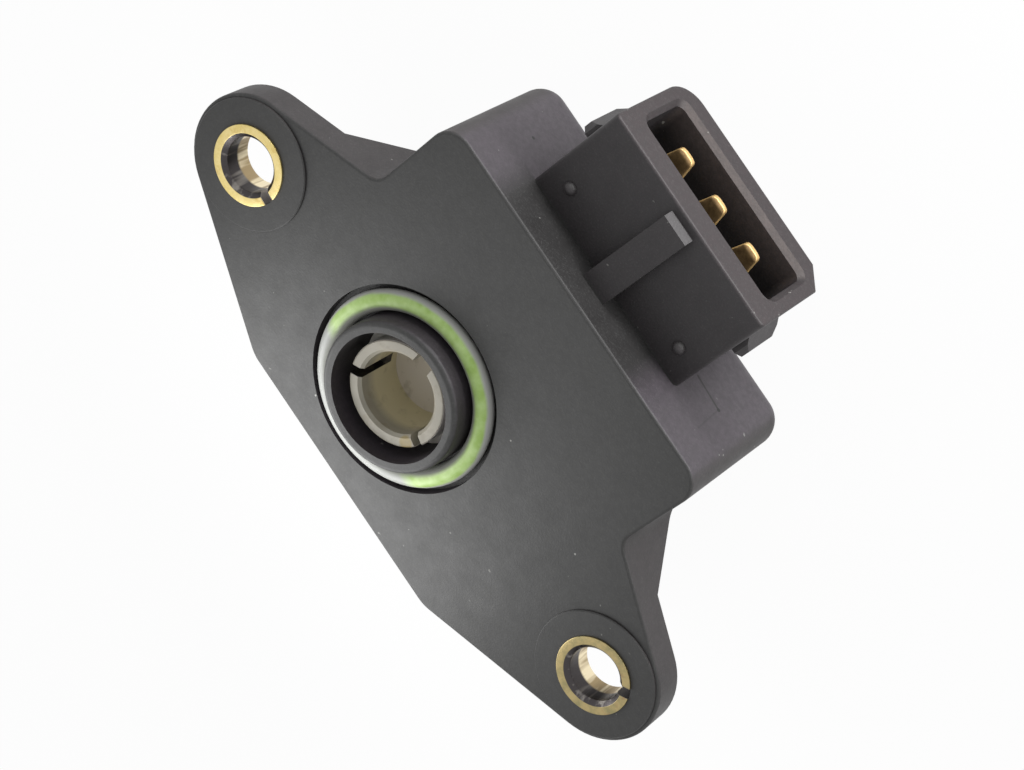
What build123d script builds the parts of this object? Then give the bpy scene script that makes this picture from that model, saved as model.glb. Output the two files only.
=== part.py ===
from build123d import *
from math import asin, atan2, cos, degrees, hypot, radians, sin, tan
import os

os.makedirs("parts", exist_ok=True)

# Throttle position sensor. Millimetres. The rotor axis is Z, the mounting plane touched by the
# two bushings is z = 0, the hole line is X, and the connector mouth looks along +Y.

# Mounting plate
hole_spacing = 56.0
plate_middle = 3.1
ear_radius = 6.7
ear_thickness = 3.3
ear_slope = 23.5
pad_rise = 0.25
pad_edge = 0.1
pad_step = 0.05
bush_proud = 0.2
bush_rear_proud = 0.2
edge_round = 0.3
inner_corner = 1.8
gusset_run = 5.9
gusset_wall = 2.0
head_space = 10.0

# Body
body_width = 38.4
body_top = 21.85
body_bottom = 13.05
bottom_flat = 28.4
body_depth = 17.25
corner_round = 2.6
soft_corner = 4.0
rear_round = 2.4
wall = 3.6
front_wall = 3.15
cover_rim = 2.7
cover_thickness = 1.8
cover_recess = 0.2
cover_gap = 0.1
gasket_edge = 0.1
gasket_thickness = 0.5
gasket_width = 0.7

# Bushings
bush_outer = 7.8
bush_bore = 5.3
bush_chamfer = 0.45
bush_slit = 1.0
bush_fit = 0.01
left_slit_angle = -5.0
right_slit_angle = 37.0

# Collar, groove and ring seal
collar_outer = 14.7
collar_bore = 12.6
collar_height = 2.0
collar_edge = 0.5
groove_outer = 20.3
groove_depth = 1.25
ring_inner_gap = 0.25
ring_outer_gap = 0.55
ring_seat = 0.05
bearing_outer = 15.4
bearing_length = 2.0

# Rotor
running_gap = 0.05
finger_outer = 10.4
socket_bore = 8.0
socket_depth = 5.85
socket_lead = 0.3
rotor_face = 0.65
finger_length = 4.05
seal_groove_top = 1.0
seal_height = 0.9
seal_side_gap = 0.02
seal_root = 11.1
drive_slot = 1.9
drive_slot_angle = 98.5
relief_slot = 0.9
relief_spread = 113.5
slot_floor = 0.15
flange_outer = 15.2
flange_thickness = 1.1
boss_flats = 7.0
boss_length = 1.5
boss_round = 1.0
stub_diameter = 4.0
stub_length = 5.7
washer_gap = 0.3
washer_thickness = 0.24

# Wiper carrier, brush and clip
carrier_outer = 17.4
carrier_thickness = 1.5
carrier_fit = 0.05
tab_reach = 10.9
tab_angle = -26.0
tab_width = 3.2
horn_height = 1.3
horn_width = 1.2
rotor_travel = 92.0
stop_gap = 0.3
stop_width = 1.6
brush_sheet = 0.15
brush_width = 0.3
brush_pitch = 0.42
brush_fingers = 3
brush_angle = 205.0
brush_lead = 2.0
brush_base = 1.6
brush_hook = 0.45
brush_rise = 0.25
brush_stake = 0.8
brush_stake_head = 1.3
track_gap = 0.05
clip_outer = 10.0
clip_thickness = 0.3
clip_petals = 6
clip_slot = 0.5

# Return spring
spring_wire = 0.6
wire_sides = 8
leg_wire = 0.58
leg_overlap = 0.2
spring_middle = 17.0
spring_drop = 0.4
spring_pitch = 0.65
spring_turns = 3
fixed_leg_angle = 180.0
leg_reach = 2.6
anchor_length = 2.4
anchor_width = 3.0
anchor_overlap = 1.6
anchor_slack = 0.1

# Board, tracks and rivets
board_thickness = 0.8
board_drop = 9.55
board_margin = 0.9
board_hole = 6.0
film = 0.06
resistor_radius = 7.2
resistor_width = 1.3
collector_radius = 5.0
collector_width = 1.1
trace_width = 0.9
post_diameter = 2.6
post_inset = 2.2
pin_diameter = 1.3
pin_gap = 0.08
stake_head = 2.3
stake_height = 0.55
rivet_row = 15.0
rivet_shank = 1.1
rivet_head = 2.0
rivet_head_height = 0.35
rivet_collar = 1.7
rivet_fit = 0.02
pad_diameter = 2.8
track_start = 190.0
track_end = 312.0
collector_start = 70.0
lead_left = -9.2
lead_right = 9.8
lead_knee_low = 1.5
lead_knee_high = 10.0

# Connector
connector_x = 2.7
shroud_width = 22.0
shroud_face = 5.4
shroud_reach = 33.0
side_wall = 1.7
near_wall = 3.3
far_wall = 2.5
socket_floor = 23.4
shroud_edge = 0.6
key_chamfer = 2.1
key_round = 2.8
mouth_round = 0.3
socket_corner = 0.9
lead_chamfer = 0.5
pin_pitch = 5.0
blade_width = 2.8
blade_thickness = 0.8
blade_tip = 32.4
blade_tip_width = 1.9
blade_tip_thickness = 0.36
blade_taper = 1.4
blade_coining = 0.45
blade_corner = 0.5
blade_inner_end = 13.4
blade_fit = 0.02
guide_width = 3.1
guide_start_rise = 1.95
guide_end_rise = 0.9
guide_end = 31.75
guide_bevel = 0.35
dot_spacing = 16.7
dot_row = 24.6
dot_radius = 0.65
lug_height = 1.05
lug_start = 28.2
lug_crest = 0.9
lug_ramp = 1.3
lug_near = 6.7
lug_length = 5.5
lug_bevel = 0.6

# Cover
boss_outer = 8.4
boss_drop = 0.6
pivot_bush_outer = 6.0
pivot_bush_length = 3.2
cover_rib = 1.2
cover_rib_height = 1.4

# Ring seal, as wide as its groove leaves room for
ring_section = (groove_outer - collar_outer) / 2 - ring_inner_gap - ring_outer_gap
ring_middle = collar_outer + 2 * ring_inner_gap + ring_section

# Levels along the rotor axis
pad_z = -bush_proud
face_z = pad_z - pad_rise
ear_back_z = face_z - ear_thickness
gusset_end_z = ear_back_z - gusset_run
rear_z = face_z - body_depth
inner_z = face_z - front_wall
groove_z = face_z - groove_depth
tube_end_z = inner_z - bearing_length
socket_floor_z = rotor_face - socket_depth
journal_top_z = rotor_face - finger_length
flange_top_z = tube_end_z - washer_gap
flange_end_z = flange_top_z - flange_thickness
boss_end_z = flange_end_z - boss_length
stub_end_z = boss_end_z - stub_length
carrier_top_z = flange_end_z - carrier_fit
carrier_end_z = carrier_top_z - carrier_thickness
board_front_z = face_z - board_drop
board_rear_z = board_front_z - board_thickness
cover_outer_z = rear_z + cover_recess
cover_inner_z = cover_outer_z + cover_thickness
ledge_z = cover_inner_z + gasket_thickness
blade_z = -(shroud_face + near_wall + (-rear_z - far_wall)) / 2
seal_top_z = journal_top_z - seal_groove_top

# Plate points, measured from the plate's middle
half_spacing = hole_spacing / 2
half_body = body_width / 2
half_flat = bottom_flat / 2
left_hole = plate_middle - half_spacing
right_hole = plate_middle + half_spacing


def plate_plane(z):
    return Plane((plate_middle, 0, z))


def polar(radius, angle):
    return radius * cos(radians(angle)), radius * sin(radians(angle))


# Lower edge of an ear: the tangent from the bottom corner of the body to the ear's round end.
corner_to_ear = (half_spacing - half_flat, body_bottom)
lower_slope = degrees(
    atan2(corner_to_ear[1], corner_to_ear[0]) - asin(ear_radius / hypot(*corner_to_ear))
)
shoulder_y = -body_bottom + (half_body - half_flat) * tan(radians(lower_slope))
lower_touch = (
    half_spacing + ear_radius * sin(radians(lower_slope)),
    -ear_radius * cos(radians(lower_slope)),
)
upper_touch = (
    half_spacing + ear_radius * sin(radians(ear_slope)),
    ear_radius * cos(radians(ear_slope)),
)
neck_y = upper_touch[1] + (upper_touch[0] - half_body) * tan(radians(ear_slope))


# Outline of the deep body, drawn at height z and moved inwards by inset.
def body_outline(z, inset=0.0):
    with BuildSketch(plate_plane(z)) as outline:
        with BuildLine():
            Polyline(
                (-half_flat, -body_bottom),
                (half_flat, -body_bottom),
                (half_body, shoulder_y),
                (half_body, body_top),
                (-half_body, body_top),
                (-half_body, shoulder_y),
                close=True,
            )
        make_face()
        if inset:
            offset(amount=-inset, kind=Kind.INTERSECTION)
        top = outline.vertices().group_by(Axis.Y)[-1]
        fillet(top, max(corner_round - inset, 1.0))
    return outline.sketch


# Outline of both ears, each drawn from the bottom corner round its end and back into the body.
def ear_outline(z, inset=0.0):
    with BuildSketch(plate_plane(z)) as ears:
        with BuildLine():
            Line((half_flat, -body_bottom), lower_touch)
            ThreePointArc(lower_touch, (half_spacing + ear_radius, 0), upper_touch)
            Line(upper_touch, (half_body, neck_y))
            Polyline((half_body, neck_y), (half_flat, neck_y), (half_flat, -body_bottom))
        make_face()
        if inset:
            offset(amount=-inset, kind=Kind.INTERSECTION)
        mirror(about=Plane.YZ)
    return ears.sketch


shroud_middle_z = (rear_z - shroud_face) / 2
shroud_height = -rear_z - shroud_face
shroud_plane = Plane((connector_x, body_top - corner_round, 0), x_dir=(1, 0, 0), z_dir=(0, 1, 0))
stop_angles = (tab_angle, tab_angle + rotor_travel)
stop_root = carrier_outer / 2 + stop_gap
tab_half_angle = degrees(asin(tab_width / 2 / stop_root))
stop_half_angle = degrees(asin(stop_width / 2 / stop_root))
stop_clear_angle = degrees(stop_gap / 2 / stop_root)
spring_top_z = inner_z - spring_drop - spring_wire / 2
horn_angle = tab_angle
moving_leg_angle = horn_angle + degrees((horn_width + spring_wire) / spring_middle)
board_low = (-half_body + wall + board_margin, -body_bottom + wall + board_margin)
board_high = (half_body - wall - board_margin, body_top - wall - board_margin)
post_points = [
    (plate_middle + side * (board_high[0] - post_inset), y)
    for side in (-1, 1)
    for y in (board_low[1] + post_inset, board_high[1] - post_inset)
]
pin_columns = [connector_x + step * pin_pitch for step in (-1, 0, 1)]

# Wiper brush: the row of finger tips, and the plate that carries them, in polar terms
brush_tip_z = board_front_z + film + track_gap
brush_inner = collector_radius - brush_pitch * (brush_fingers - 1) / 2 - brush_width / 2
brush_outer = resistor_radius + brush_pitch * (brush_fingers - 1) / 2 + brush_width / 2
brush_length = clip_outer / 2 - brush_lead
brush_plate_y = -brush_length - brush_base / 2
stake_points = [(collector_radius, brush_plate_y), (resistor_radius, brush_plate_y)]
brush_turn = Location((0, 0, 0), (0, 0, brush_angle))

# Housing: one moulding with the plate, ears, deep body, collar, bearing tube and plug shroud.
with BuildPart() as housing:
    # Plate over the full outline, with a softened front edge
    with BuildSketch(plate_plane(face_z)) as plate:
        add(body_outline(0).moved(Location((-plate_middle, 0, 0))))
        add(ear_outline(0).moved(Location((-plate_middle, 0, 0))))
        necks = plate.vertices().filter_by(
            lambda v: abs(abs(v.X) - half_body) < 0.01 and abs(v.Y - neck_y) < 0.01
        )
        fillet(necks, inner_corner)
        bottoms = plate.vertices().group_by(Axis.Y)[0]
        fillet(bottoms, soft_corner)
    extrude(amount=gusset_end_z - face_z)
    fillet(housing.faces().sort_by(Axis.Z)[-1].edges(), edge_round)
    # The ears keep their own thickness, with ramps down to the body
    with BuildSketch(Plane.XZ):
        for side in (-1, 1):
            with BuildLine():
                Polyline(
                    (plate_middle + side * (half_body + gusset_run), ear_back_z),
                    (plate_middle + side * (half_spacing + 2 * ear_radius), ear_back_z),
                    (plate_middle + side * (half_spacing + 2 * ear_radius), gusset_end_z - 1),
                    (plate_middle + side * (half_body - 1), gusset_end_z - 1),
                    close=True,
                )
            make_face()
    extrude(amount=2 * body_top, both=True, mode=Mode.SUBTRACT)
    # Cored pockets leave an edge rib on each side of a ramp and one in the middle
    with BuildSketch(Plane.XY.offset(ear_back_z)) as pockets:
        add(ear_outline(0, gusset_wall))
        Rectangle(4 * half_spacing, gusset_wall, mode=Mode.SUBTRACT)
        with Locations((left_hole, 0), (right_hole, 0)):
            Circle((head_space + gusset_wall) / 2, mode=Mode.SUBTRACT)
    extrude(amount=gusset_end_z - ear_back_z - 1, mode=Mode.SUBTRACT)
    # Room behind each ear for the head of its screw
    with BuildSketch(Plane.XY.offset(ear_back_z)):
        with Locations((left_hole, 0), (right_hole, 0)):
            Circle(head_space / 2)
    extrude(amount=gusset_end_z - ear_back_z - 1, mode=Mode.SUBTRACT)
    # Deep body behind the plate, rounded along its rear
    with BuildSketch(Plane.XY.offset(ear_back_z)):
        add(body_outline(0))
    extrude(amount=rear_z - ear_back_z)
    fillet(housing.edges().filter_by_position(Axis.Z, rear_z - 0.01, rear_z + 0.01), rear_round)
    # Raised pads round the bushings
    with BuildSketch(Plane.XY.offset(face_z)):
        with Locations((left_hole, 0), (right_hole, 0)):
            Circle(ear_radius - edge_round - pad_step)
    extrude(amount=pad_z - face_z)
    chamfer(housing.faces().sort_by(Axis.Z)[-2:].edges(), pad_edge)
    # Plug shroud, keyed by one cut and one round far corner
    with BuildSketch(shroud_plane) as shroud:
        with Locations((0, -shroud_middle_z)):
            Rectangle(shroud_width, shroud_height)
        fillet(shroud.vertices().group_by(Axis.Y)[0], shroud_edge)
        chamfer(shroud.vertices().group_by(Axis.Y)[-1].sort_by(Axis.X)[-1], key_chamfer)
        fillet(shroud.vertices().group_by(Axis.Y)[-1].sort_by(Axis.X)[0], key_round)
    extrude(amount=shroud_reach - body_top + corner_round)
    fillet(housing.faces().sort_by(Axis.Y)[-1].edges(), mouth_round)
    # Guide rib down the middle of the shroud, lower towards the mouth
    with BuildSketch(Plane.YZ.offset(connector_x)):
        with BuildLine():
            Polyline(
                (body_top - 1, -shroud_face - 1),
                (body_top - 1, -shroud_face + guide_start_rise),
                (body_top, -shroud_face + guide_start_rise),
                (guide_end, -shroud_face + guide_end_rise),
                (guide_end + guide_bevel, -shroud_face),
                (guide_end + guide_bevel, -shroud_face - 1),
                close=True,
            )
        make_face()
    extrude(amount=guide_width / 2, both=True)
    # Two round moulding dots beside the rib
    dot_columns = [connector_x + side * dot_spacing / 2 for side in (-1, 1)]
    with Locations(*[(x, dot_row, -shroud_face) for x in dot_columns]):
        Sphere(dot_radius)
    # Latch lugs on the two narrow sides: a square shoulder and a ramp towards the mouth
    for side in (-1, 1):
        side_x = connector_x + side * (shroud_width / 2)
        with BuildSketch(Plane.XY.offset(-lug_near)):
            with BuildLine():
                Polyline(
                    (side_x - side * 0.5, lug_start),
                    (side_x + side * lug_height, lug_start),
                    (side_x + side * lug_height, lug_start + lug_crest),
                    (side_x, lug_start + lug_crest + lug_ramp),
                    (side_x - side * 0.5, lug_start + lug_crest + lug_ramp),
                    close=True,
                )
            make_face()
        extrude(amount=-lug_length)
    crests = housing.edges().filter_by(
        lambda e: abs(abs(e.center().X - connector_x) - shroud_width / 2 - lug_height) < 0.01
        and abs(e.center().Z + lug_near + lug_length / 2) > lug_length / 2 - 0.01
    )
    chamfer(crests, lug_bevel)
    # Socket inside the shroud
    with BuildSketch(shroud_plane.offset(shroud_reach - body_top + corner_round)) as socket:
        with Locations((0, -blade_z)):
            Rectangle(shroud_width - 2 * side_wall, shroud_height - near_wall - far_wall)
        fillet(socket.vertices(), socket_corner)
    extrude(amount=socket_floor - shroud_reach, mode=Mode.SUBTRACT)
    mouth_edges = housing.faces().sort_by(Axis.Y)[-1].inner_wires()[0].edges()
    chamfer(mouth_edges, lead_chamfer)
    # Chamber, gasket ledge and cover seat, open at the rear
    with BuildSketch(Plane.XY.offset(rear_z)):
        add(body_outline(0, wall))
    extrude(amount=inner_z - rear_z, mode=Mode.SUBTRACT)
    with BuildSketch(Plane.XY.offset(rear_z)):
        add(body_outline(0, cover_rim))
    extrude(amount=ledge_z - rear_z, mode=Mode.SUBTRACT)
    # Collar, bearing tube, ring groove and the bore through them
    with BuildSketch(Plane.XY.offset(face_z)):
        Circle(groove_outer / 2)
        Circle(collar_outer / 2, mode=Mode.SUBTRACT)
    extrude(amount=groove_z - face_z, mode=Mode.SUBTRACT)
    with BuildSketch(Plane.XY.offset(groove_z)):
        Circle(collar_outer / 2)
    extrude(amount=collar_height - groove_z)
    fillet(housing.faces().sort_by(Axis.Z)[-1].edges(), collar_edge)
    with BuildSketch(Plane.XY.offset(inner_z)):
        Circle(bearing_outer / 2)
    extrude(amount=tube_end_z - inner_z)
    with BuildSketch(Plane.XY.offset(collar_height)):
        Circle(collar_bore / 2)
    extrude(amount=tube_end_z - collar_height, mode=Mode.SUBTRACT)
    # Board posts with stakes that hold the board
    with BuildSketch(Plane.XY.offset(inner_z)):
        with Locations(*post_points):
            Circle(post_diameter / 2)
    extrude(amount=board_front_z - inner_z)
    with BuildSketch(Plane.XY.offset(board_front_z)):
        with Locations(*post_points):
            Circle(pin_diameter / 2)
    extrude(amount=-board_thickness)
    with BuildSketch(Plane.XY.offset(board_rear_z)):
        with Locations(*post_points):
            Circle(stake_head / 2)
    extrude(amount=-stake_height, taper=20)
    # Travel stops for the carrier's tab
    for angle, side in zip(stop_angles, (-1, 1)):
        turn = angle + side * (tab_half_angle + stop_half_angle + stop_clear_angle)
        stop_plane = Plane((0, 0, inner_z)).rotated((0, 0, turn))
        with BuildSketch(stop_plane):
            with Locations(((stop_root + tab_reach) / 2, 0)):
                Rectangle(tab_reach - stop_root, stop_width)
        extrude(amount=carrier_end_z - inner_z)
    # Slotted anchor for the spring's fixed leg
    anchor_reach = spring_middle / 2 + leg_reach
    with BuildSketch(Plane.XY.offset(inner_z)):
        with Locations(((anchor_length - anchor_overlap) / 2 - anchor_reach, 0)):
            Rectangle(anchor_length, anchor_width)
            Rectangle(anchor_length, spring_wire + anchor_slack, mode=Mode.SUBTRACT)
    extrude(amount=-spring_drop - 2 * spring_wire)
    # Slots moulded round the terminals
    with BuildSketch(shroud_plane):
        with Locations(*[(x - connector_x, -blade_z) for x in pin_columns]):
            Rectangle(blade_width + 2 * blade_fit, blade_thickness + 2 * blade_fit)
    extrude(amount=socket_floor - body_top + corner_round, both=True, mode=Mode.SUBTRACT)
    # Bushing holes
    with BuildSketch(Plane.XY.offset(pad_z)):
        with Locations((left_hole, 0), (right_hole, 0)):
            Circle(bush_outer / 2 + bush_fit)
    extrude(amount=ear_back_z - pad_z, mode=Mode.SUBTRACT)
housing.part.label = "housing"
export_step(housing.part, "parts/housing.step")


# Mounting bushings: rolled sleeves with an open seam, a little longer than the ear is thick
def sleeve_outline(x, slit_angle):
    with BuildSketch(Plane((x, 0, 0))) as sleeve:
        Circle(bush_outer / 2)
        Circle(bush_bore / 2, mode=Mode.SUBTRACT)
        with Locations(Location((0, 0, 0), (0, 0, slit_angle))):
            with Locations((bush_outer / 2, 0)):
                Rectangle(bush_outer, bush_slit, mode=Mode.SUBTRACT)
    return sleeve.sketch


with BuildPart() as mounting_bushing_left:
    add(sleeve_outline(left_hole, left_slit_angle))
    extrude(amount=ear_back_z - bush_rear_proud)
    ends = mounting_bushing_left.edges().filter_by(GeomType.CIRCLE)
    chamfer(ends.filter_by(lambda e: abs(e.radius - bush_bore / 2) < 0.01), bush_chamfer)
mounting_bushing_left.part.label = "mounting_bushing_left"
export_step(mounting_bushing_left.part, "parts/mounting_bushing_left.step")

with BuildPart() as mounting_bushing_right:
    add(sleeve_outline(right_hole, right_slit_angle))
    extrude(amount=ear_back_z - bush_rear_proud)
    ends = mounting_bushing_right.edges().filter_by(GeomType.CIRCLE)
    chamfer(ends.filter_by(lambda e: abs(e.radius - bush_bore / 2) < 0.01), bush_chamfer)
mounting_bushing_right.part.label = "mounting_bushing_right"
export_step(mounting_bushing_right.part, "parts/mounting_bushing_right.step")

# Face seal, a round ring with a narrow flat where it is seated on the groove floor
with BuildPart() as face_o_ring:
    with BuildSketch(Plane.XZ):
        with Locations((ring_middle / 2, groove_z + ring_section / 2 - ring_seat)):
            Circle(ring_section / 2)
        with Locations((ring_middle / 2, groove_z - ring_section / 2)):
            Rectangle(ring_section, ring_section, mode=Mode.SUBTRACT)
    revolve(axis=Axis.Z)
face_o_ring.part.label = "face_o_ring"
export_step(face_o_ring.part, "parts/face_o_ring.step")

# Rotor hub: slotted socket, journal with a seal groove, flange, keyed boss and rear stub
journal_radius = collar_bore / 2 - running_gap
with BuildPart() as rotor_hub:
    with BuildSketch(Plane.XZ):
        with BuildLine():
            Polyline(
                (0, stub_end_z),
                (stub_diameter / 2, stub_end_z),
                (stub_diameter / 2, flange_end_z),
                (flange_outer / 2, flange_end_z),
                (flange_outer / 2, flange_top_z),
                (journal_radius, flange_top_z),
                (journal_radius, seal_top_z - seal_height),
                (seal_root / 2, seal_top_z - seal_height),
                (seal_root / 2, seal_top_z),
                (journal_radius, seal_top_z),
                (journal_radius, journal_top_z),
                (finger_outer / 2, journal_top_z),
                (finger_outer / 2, rotor_face),
                (socket_bore / 2, rotor_face),
                (socket_bore / 2, socket_floor_z),
                (0, socket_floor_z),
                close=True,
            )
        make_face()
    revolve(axis=Axis.Z)
    with BuildSketch(Plane.XY.offset(flange_end_z)) as boss:
        Rectangle(boss_flats, boss_flats)
        fillet(boss.vertices(), boss_round)
    extrude(amount=-boss_length)
    mouth = rotor_hub.faces().sort_by(Axis.Z)[-1].edges()
    chamfer(mouth.sort_by(SortBy.RADIUS)[0], socket_lead)
    mouth = rotor_hub.faces().sort_by(Axis.Z)[-1].edges()
    fillet(mouth.sort_by(SortBy.RADIUS)[-1], socket_lead / 2)
    chamfer(rotor_hub.faces().sort_by(Axis.Z)[0].edges(), socket_lead)
    # One wide drive slot and two narrow ones part the rim into three fingers
    with BuildSketch(Plane.XY.offset(rotor_face)):
        for angle, width in (
            (drive_slot_angle, drive_slot),
            (drive_slot_angle + relief_spread, relief_slot),
            (drive_slot_angle - relief_spread, relief_slot),
        ):
            with Locations(Location((0, 0, 0), (0, 0, angle))):
                with Locations(((socket_bore + finger_outer) / 4, 0)):
                    Rectangle((socket_bore + finger_outer) / 4, width)
    extrude(amount=journal_top_z + slot_floor - rotor_face, mode=Mode.SUBTRACT)
rotor_hub.part.label = "rotor_hub"
export_step(rotor_hub.part, "parts/rotor_hub.step")

# Shaft seal in the journal's groove
with BuildPart() as rotor_seal:
    with BuildSketch(Plane.XY.offset(seal_top_z - seal_side_gap)):
        Circle(collar_bore / 2 - running_gap / 2)
        Circle(seal_root / 2, mode=Mode.SUBTRACT)
    extrude(amount=-seal_height + 2 * seal_side_gap)
rotor_seal.part.label = "rotor_seal"
export_step(rotor_seal.part, "parts/rotor_seal.step")

# Thrust washer, lying on the flange
with BuildPart() as thrust_washer:
    with BuildSketch(Plane.XY.offset(flange_top_z)):
        Circle(bearing_outer / 2 - running_gap)
        Circle(journal_radius + running_gap, mode=Mode.SUBTRACT)
    extrude(amount=washer_thickness)
thrust_washer.part.label = "thrust_washer"
export_step(thrust_washer.part, "parts/thrust_washer.step")

# Wiper carrier: a disc keyed on the boss, with a stop tab and the horn that winds the spring
with BuildPart() as wiper_carrier:
    with BuildSketch(Plane.XY.offset(carrier_top_z)) as disc:
        Circle(carrier_outer / 2)
        with Locations(Location((0, 0, 0), (0, 0, tab_angle))):
            with Locations((tab_reach / 2, 0)):
                Rectangle(tab_reach, tab_width)
        key = boss_flats + 2 * carrier_fit
        RectangleRounded(key, key, boss_round + carrier_fit, mode=Mode.SUBTRACT)
    extrude(amount=-carrier_thickness)
    with BuildSketch(Plane.XY.offset(carrier_top_z)):
        with Locations(Location((0, 0, 0), (0, 0, horn_angle))):
            with Locations((tab_reach - horn_width, 0)):
                Rectangle(horn_width, horn_width)
    extrude(amount=horn_height)
    # Heat stakes that hold the brush
    with BuildSketch(Plane.XY.offset(carrier_end_z)):
        with Locations(brush_turn):
            with Locations(*stake_points):
                Circle(brush_stake / 2)
    extrude(amount=-brush_sheet)
    with BuildSketch(Plane.XY.offset(carrier_end_z - brush_sheet)):
        with Locations(brush_turn):
            with Locations(*stake_points):
                Circle(brush_stake_head / 2)
    extrude(amount=-2 * brush_sheet)
wiper_carrier.part.label = "wiper_carrier"
export_step(wiper_carrier.part, "parts/wiper_carrier.step")

# Wiper brush: a stamped plate with two groups of sprung fingers, one for each track
plate_under = carrier_end_z - brush_sheet
finger_line = [
    (-brush_length - brush_sheet, plate_under),
    (-brush_length, plate_under),
    (-brush_hook, brush_tip_z),
    (0, brush_tip_z),
    (brush_hook, brush_tip_z + brush_rise),
]
with BuildPart() as wiper_brush:
    with BuildSketch(Plane.XY.offset(carrier_end_z)):
        with Locations(brush_turn):
            with Locations(((brush_inner + brush_outer) / 2, brush_plate_y)):
                Rectangle(brush_outer - brush_inner, brush_base)
            with Locations(*stake_points):
                Circle(brush_stake / 2, mode=Mode.SUBTRACT)
        Circle(carrier_outer / 2 - running_gap, mode=Mode.INTERSECT)
    extrude(amount=-brush_sheet)
    for track_radius in (resistor_radius, collector_radius):
        for step in range(brush_fingers):
            reach = track_radius + (step - (brush_fingers - 1) / 2) * brush_pitch
            outward = polar(1, brush_angle)
            along = (-outward[1], outward[0])
            finger_root = (reach * outward[0], reach * outward[1], 0)
            with BuildSketch(Plane(finger_root, x_dir=(*along, 0), z_dir=(*outward, 0))):
                with BuildLine():
                    Polyline(
                        *finger_line,
                        *[(y, z + brush_sheet) for y, z in reversed(finger_line)],
                        close=True,
                    )
                make_face()
            extrude(amount=brush_width / 2, both=True)
wiper_brush.part.label = "wiper_brush"
export_step(wiper_brush.part, "parts/wiper_brush.step")

# Push-on clip with petals that grip the stub and hold the carrier on its boss
with BuildPart() as carrier_clip:
    with BuildSketch(Plane.XY.offset(carrier_end_z)):
        Circle(clip_outer / 2)
        with PolarLocations((clip_outer + stub_diameter) / 8, clip_petals):
            Rectangle((clip_outer + stub_diameter) / 4, clip_slot, mode=Mode.SUBTRACT)
        Circle(stub_diameter / 2 + bush_fit, mode=Mode.SUBTRACT)
    extrude(amount=-clip_thickness)
carrier_clip.part.label = "carrier_clip"
export_step(carrier_clip.part, "parts/carrier_clip.step")

# Return spring: a torsion coil round the bearing tube, one leg in the housing's anchor, the other
# beside the carrier's horn
coil_turns = spring_turns + (moving_leg_angle - fixed_leg_angle) % 360 / 360
coil_rise = coil_turns * spring_pitch
with BuildPart() as return_spring:
    coil_foot = (0, 0, spring_top_z - coil_rise)
    with BuildLine() as coil:
        turns = Helix(
            spring_pitch,
            coil_rise,
            spring_middle / 2,
            center=coil_foot,
            lefthand=True,
            mode=Mode.PRIVATE,
        )
        add(turns.rotate(Axis.Z, moving_leg_angle))
    with BuildSketch(Plane(coil.line @ 0, z_dir=coil.line % 0)):
        RegularPolygon(spring_wire / 2, wire_sides)
    sweep(path=coil.line, is_frenet=True)
    for angle, level in (
        (fixed_leg_angle, spring_top_z),
        (moving_leg_angle, spring_top_z - coil_rise),
    ):
        leg_root = (*polar(spring_middle / 2 - leg_overlap, angle), level)
        with BuildSketch(Plane(leg_root, z_dir=(*polar(1, angle), 0))):
            Circle(leg_wire / 2)
        extrude(amount=leg_reach + leg_overlap)
return_spring.part.label = "return_spring"
export_step(return_spring.part, "parts/return_spring.step")

# Board with its hole for the stub, seated on the housing's posts
with BuildPart() as resistor_board:
    with BuildSketch(Plane.XY.offset(board_front_z)):
        add(body_outline(0, wall + board_margin))
        Circle(board_hole / 2, mode=Mode.SUBTRACT)
        with Locations(*post_points):
            Circle(pin_diameter / 2 + pin_gap, mode=Mode.SUBTRACT)
        with Locations(*[(x, rivet_row) for x in pin_columns]):
            Circle(rivet_shank / 2 + rivet_fit, mode=Mode.SUBTRACT)
    extrude(amount=-board_thickness)
resistor_board.part.label = "resistor_board"
export_step(resistor_board.part, "parts/resistor_board.step")


# Flat arc of a printed track, between two angles
def arc_band(radius, width, start, end):
    with BuildSketch() as band:
        with BuildLine():
            for edge_radius in (radius - width / 2, radius + width / 2):
                CenterArc((0, 0), edge_radius, start, end - start)
            for angle in (start, end):
                Line(polar(radius - width / 2, angle), polar(radius + width / 2, angle))
        make_face()
    return band.sketch


with BuildPart() as resistor_track:
    with BuildSketch(Plane.XY.offset(board_front_z)):
        add(arc_band(resistor_radius, resistor_width, track_start, track_end))
    extrude(amount=film)
resistor_track.part.label = "resistor_track"
export_step(resistor_track.part, "parts/resistor_track.step")

with BuildPart() as collector_track:
    with BuildSketch(Plane.XY.offset(board_front_z)):
        add(arc_band(collector_radius, collector_width, collector_start, track_end))
    extrude(amount=film)
collector_track.part.label = "collector_track"
export_step(collector_track.part, "parts/collector_track.step")

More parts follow.
